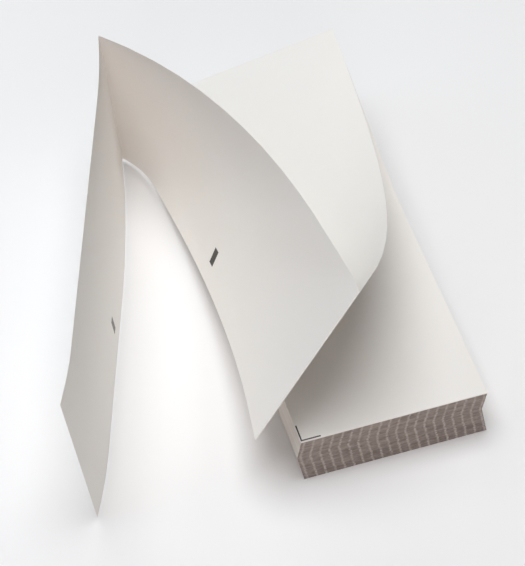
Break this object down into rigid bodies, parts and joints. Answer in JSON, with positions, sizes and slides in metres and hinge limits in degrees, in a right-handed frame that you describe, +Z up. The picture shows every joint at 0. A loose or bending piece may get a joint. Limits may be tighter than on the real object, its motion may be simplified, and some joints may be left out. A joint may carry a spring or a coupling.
{
  "type": "pack of thermal z-fold paper",
  "caption": "Pack of plain white z-fold thermal ticket paper, one long web folded to and fro into a flat stack, with its top leaves pulled open beside it.",
  "frame": {"origin": "middle of the stack's underside, on the table", "axes": "+X across the web, with the opened leaves on the -X side; +Y along a leaf towards the back fold; +Z up"},
  "size_m": [0.1412, 0.1571, 0.0803],
  "materials": {
    "paper": "matt"
  },
  "bodies": {
    "root": {"folded_paper": "paper"}
  },
  "joints": []
}
